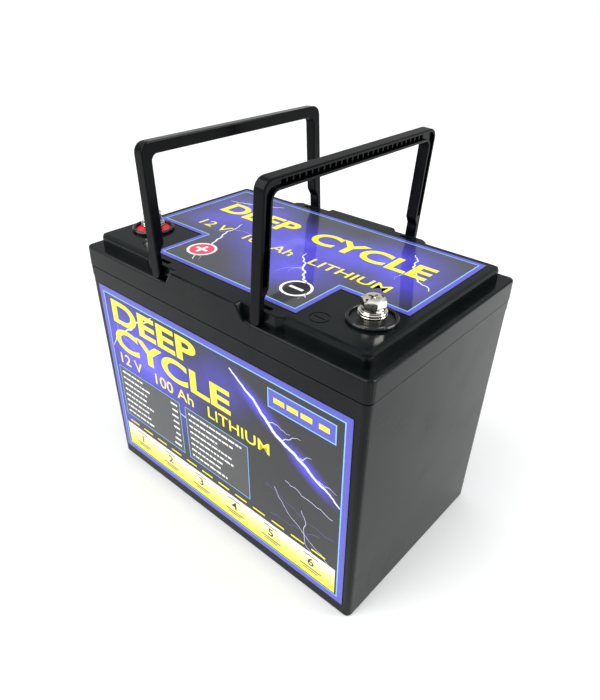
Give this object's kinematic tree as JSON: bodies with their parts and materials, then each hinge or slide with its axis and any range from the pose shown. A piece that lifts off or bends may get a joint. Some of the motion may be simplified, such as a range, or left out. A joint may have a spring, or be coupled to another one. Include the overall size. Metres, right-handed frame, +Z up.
{
  "type": "deep cycle battery",
  "caption": "Sealed rectangular battery with a stepped lid, folding U-shaped carrying handles and bolted screw terminals.",
  "frame": {"origin": "centre of the base, on the surface it stands on", "axes": "+X along the length towards the negative terminal, -Y the label side, +Z up; handles nearly upright"},
  "size_m": [0.26, 0.1686, 0.2881],
  "materials": {
    "case_plastic": "satin to gloss black moulded ABS",
    "handle_plastic": "satin black moulded polypropylene",
    "collar_plastic": "black moulded plastic",
    "red_disc": "bright red insert plate",
    "black_disc": "black insert plate",
    "label_film": "printed film, violet-blue border",
    "plated_steel": "bright nickel plate",
    "tinned_brass": "tinned brass",
    "seal_rubber": "black sealing bead",
    "cell_skin": "blue film over an aluminium can",
    "foam": "dense dark foam",
    "fibre_board": "insulating fibre board",
    "strap_steel": "galvanised strap",
    "aluminium": "plain aluminium",
    "circuit_board": "green circuit board",
    "dark_plastic": "black plastic",
    "red_cable": "red insulation",
    "black_cable": "black insulation",
    "white_cable": "white insulation"
  },
  "bodies": {
    "base": {"case": "case_plastic", "lid": "case_plastic", "lid_seal": "seal_rubber", "top_label": "label_film", "front_label": "label_film", "positive_collar": "collar_plastic", "positive_disc": "red_disc", "positive_insert": "tinned_brass", "positive_insert_nut": "tinned_brass", "positive_cell_lug": "tinned_brass", "positive_terminal_lug": "tinned_brass", "negative_collar": "collar_plastic", "negative_disc": "black_disc", "negative_insert": "tinned_brass", "negative_insert_nut": "tinned_brass", "negative_cell_lug": "tinned_brass", "negative_terminal_lug": "tinned_brass", "cell_1": "cell_skin", "cell_2": "cell_skin", "cell_3": "cell_skin", "cell_4": "cell_skin", "cell_spacer_1": "fibre_board", "busbar_1": "aluminium", "cell_spacer_2": "fibre_board", "busbar_2": "aluminium", "cell_spacer_3": "fibre_board", "busbar_3": "aluminium", "base_pad": "foam", "left_filler": "foam", "right_filler": "foam", "left_end_plate": "dark_plastic", "right_end_plate": "dark_plastic", "lower_strap": "strap_steel", "upper_strap": "strap_steel", "bms_tray": "fibre_board", "bms_heat_plate": "aluminium", "bms_board": "circuit_board", "wireless_board": "dark_plastic", "temperature_probe": "dark_plastic", "positive_cable": "red_cable", "negative_cable": "black_cable", "pack_negative_cable": "black_cable", "sense_cable": "white_cable"},
    "left_bail": {"left_handle": "handle_plastic"},
    "right_bail": {"right_handle": "handle_plastic"},
    "positive_washers": {"positive_lower_washer": "plated_steel", "positive_upper_washer": "plated_steel", "positive_spring_washer": "plated_steel"},
    "positive_screw": {"positive_bolt": "plated_steel"},
    "negative_washers": {"negative_lower_washer": "plated_steel", "negative_upper_washer": "plated_steel", "negative_spring_washer": "plated_steel"},
    "negative_screw": {"negative_bolt": "plated_steel"}
  },
  "joints": [
    {"name": "right_handle_fold", "type": "hinge", "parent": "base", "child": "right_bail", "pos_m": [0.0462, 0, 0.2043], "axis": [0, 1, 0], "range_deg": [-28.7, 86.3]},
    {"name": "left_handle_fold", "type": "hinge", "parent": "base", "child": "left_bail", "pos_m": [-0.0462, 0, 0.2043], "axis": [0, -1, 0], "range_deg": [-28.8, 86.2]},
    {"name": "positive_washers_lift", "type": "slide", "parent": "base", "child": "positive_washers", "axis": [0, 0, 1], "range_m": [0, 0.013]},
    {"name": "positive_screw_spin", "type": "hinge", "parent": "positive_washers", "child": "positive_screw", "pos_m": [-0.1002, -0.0434, 0.2173], "axis": [0, 0, 1], "range_deg": [0, 3744]},
    {"name": "negative_washers_lift", "type": "slide", "parent": "base", "child": "negative_washers", "axis": [0, 0, 1], "range_m": [0, 0.013]},
    {"name": "negative_screw_spin", "type": "hinge", "parent": "negative_washers", "child": "negative_screw", "pos_m": [0.1002, -0.0434, 0.2173], "axis": [0, 0, 1], "range_deg": [0, 3744]}
  ],
  "couplings": [
    {"joint": "positive_screw_spin", "follows": "positive_washers_lift", "rad_per_m": 5026.5},
    {"joint": "negative_screw_spin", "follows": "negative_washers_lift", "rad_per_m": 5026.5}
  ]
}
